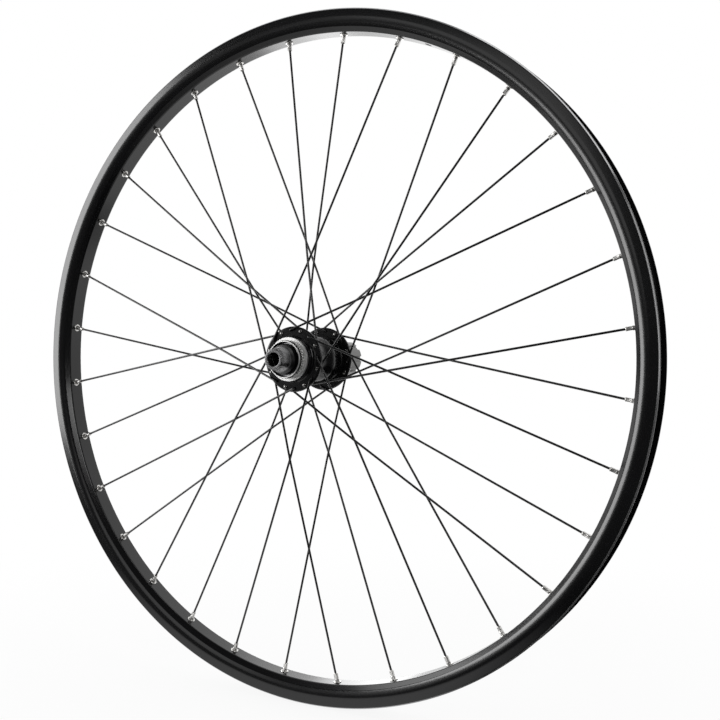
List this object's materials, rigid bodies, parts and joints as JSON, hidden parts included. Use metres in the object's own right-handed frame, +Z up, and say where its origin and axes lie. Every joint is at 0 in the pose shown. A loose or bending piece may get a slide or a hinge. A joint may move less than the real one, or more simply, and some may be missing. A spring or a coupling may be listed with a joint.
{
  "type": "rear bicycle wheel",
  "caption": "Rear bicycle wheel with a hooked double-wall rim, crossed wire spokes, a splined disc mount and a freewheel driver on a through-axle hub.",
  "frame": {"origin": "the wheel's centre: on the spin axis, in the rim's middle plane", "axes": "+Y along the axle towards the drive side, +Z up, +X completing the right-handed frame; seen from the brake side, +X is to the right"},
  "size_m": [0.6339, 0.135, 0.634],
  "materials": {
    "rim": "satin black anodised",
    "eyelets": "bright plated steel",
    "nipples": "nickel plated brass",
    "spokes": "black stainless steel",
    "hub_shell": "gloss black anodised, with the disc mount turned bare and bright",
    "end_caps": "grey anodised, turned",
    "axle": "bare, turned",
    "driver": "bare, machined",
    "bearing_steel": "ground steel",
    "tool_steel": "hardened steel",
    "spring_steel": "spring steel",
    "seal": "matte rubber"
  },
  "bodies": {
    "axle": {"axle": "axle", "axle_spacer": "axle", "driver_spacer": "axle", "brake_side_end_cap": "end_caps", "drive_side_end_cap": "end_caps", "brake_side_bearing_inner_race": "bearing_steel", "drive_side_bearing_inner_race": "bearing_steel", "driver_inboard_bearing_inner_race": "bearing_steel", "driver_outboard_bearing_inner_race": "bearing_steel"},
    "wheel": {"rim": "rim", "rim_eyelets": "eyelets", "spoke_nipples": "nipples", "spoke_01": "spokes", "spoke_02": "spokes", "spoke_03": "spokes", "spoke_04": "spokes", "spoke_05": "spokes", "spoke_06": "spokes", "spoke_07": "spokes", "spoke_08": "spokes", "spoke_09": "spokes", "spoke_10": "spokes", "spoke_11": "spokes", "spoke_12": "spokes", "spoke_13": "spokes", "spoke_14": "spokes", "spoke_15": "spokes", "spoke_16": "spokes", "spoke_17": "spokes", "spoke_18": "spokes", "spoke_19": "spokes", "spoke_20": "spokes", "spoke_21": "spokes", "spoke_22": "spokes", "spoke_23": "spokes", "spoke_24": "spokes", "spoke_25": "spokes", "spoke_26": "spokes", "spoke_27": "spokes", "spoke_28": "spokes", "spoke_29": "spokes", "spoke_30": "spokes", "spoke_31": "spokes", "spoke_32": "spokes", "hub_shell": "hub_shell", "ratchet_ring": "tool_steel", "hub_seal": "seal", "brake_side_bearing_outer_race": "bearing_steel", "drive_side_bearing_outer_race": "bearing_steel"},
    "driver": {"freewheel_driver": "driver", "pawl_springs": "spring_steel", "driver_inboard_bearing_outer_race": "bearing_steel", "driver_outboard_bearing_outer_race": "bearing_steel"},
    "pawl_1": {"pawl_1": "tool_steel"},
    "pawl_2": {"pawl_2": "tool_steel"},
    "pawl_3": {"pawl_3": "tool_steel"}
  },
  "joints": [
    {"name": "wheel_spin", "type": "hinge", "parent": "axle", "child": "wheel", "pos_m": [0, 0, 0], "axis": [0, -1, 0], "continuous": true},
    {"name": "driver_spin", "type": "hinge", "parent": "axle", "child": "driver", "pos_m": [0, 0, 0], "axis": [0, -1, 0], "continuous": true},
    {"name": "pawl_1_swing", "type": "hinge", "parent": "driver", "child": "pawl_1", "pos_m": [0.0034, 0.0139, 0.0112], "axis": [0, -1, 0], "range_deg": [0, 14], "stiffness_Nm_per_rad": 0.005, "springref_deg": -5.73},
    {"name": "pawl_2_swing", "type": "hinge", "parent": "driver", "child": "pawl_2", "pos_m": [-0.0114, 0.0139, -0.00266], "axis": [0, -1, 0], "range_deg": [0, 14], "stiffness_Nm_per_rad": 0.005, "springref_deg": -5.73},
    {"name": "pawl_3_swing", "type": "hinge", "parent": "driver", "child": "pawl_3", "pos_m": [0.008, 0.0139, -0.00854], "axis": [0, -1, 0], "range_deg": [0, 14], "stiffness_Nm_per_rad": 0.005, "springref_deg": -5.73}
  ]
}
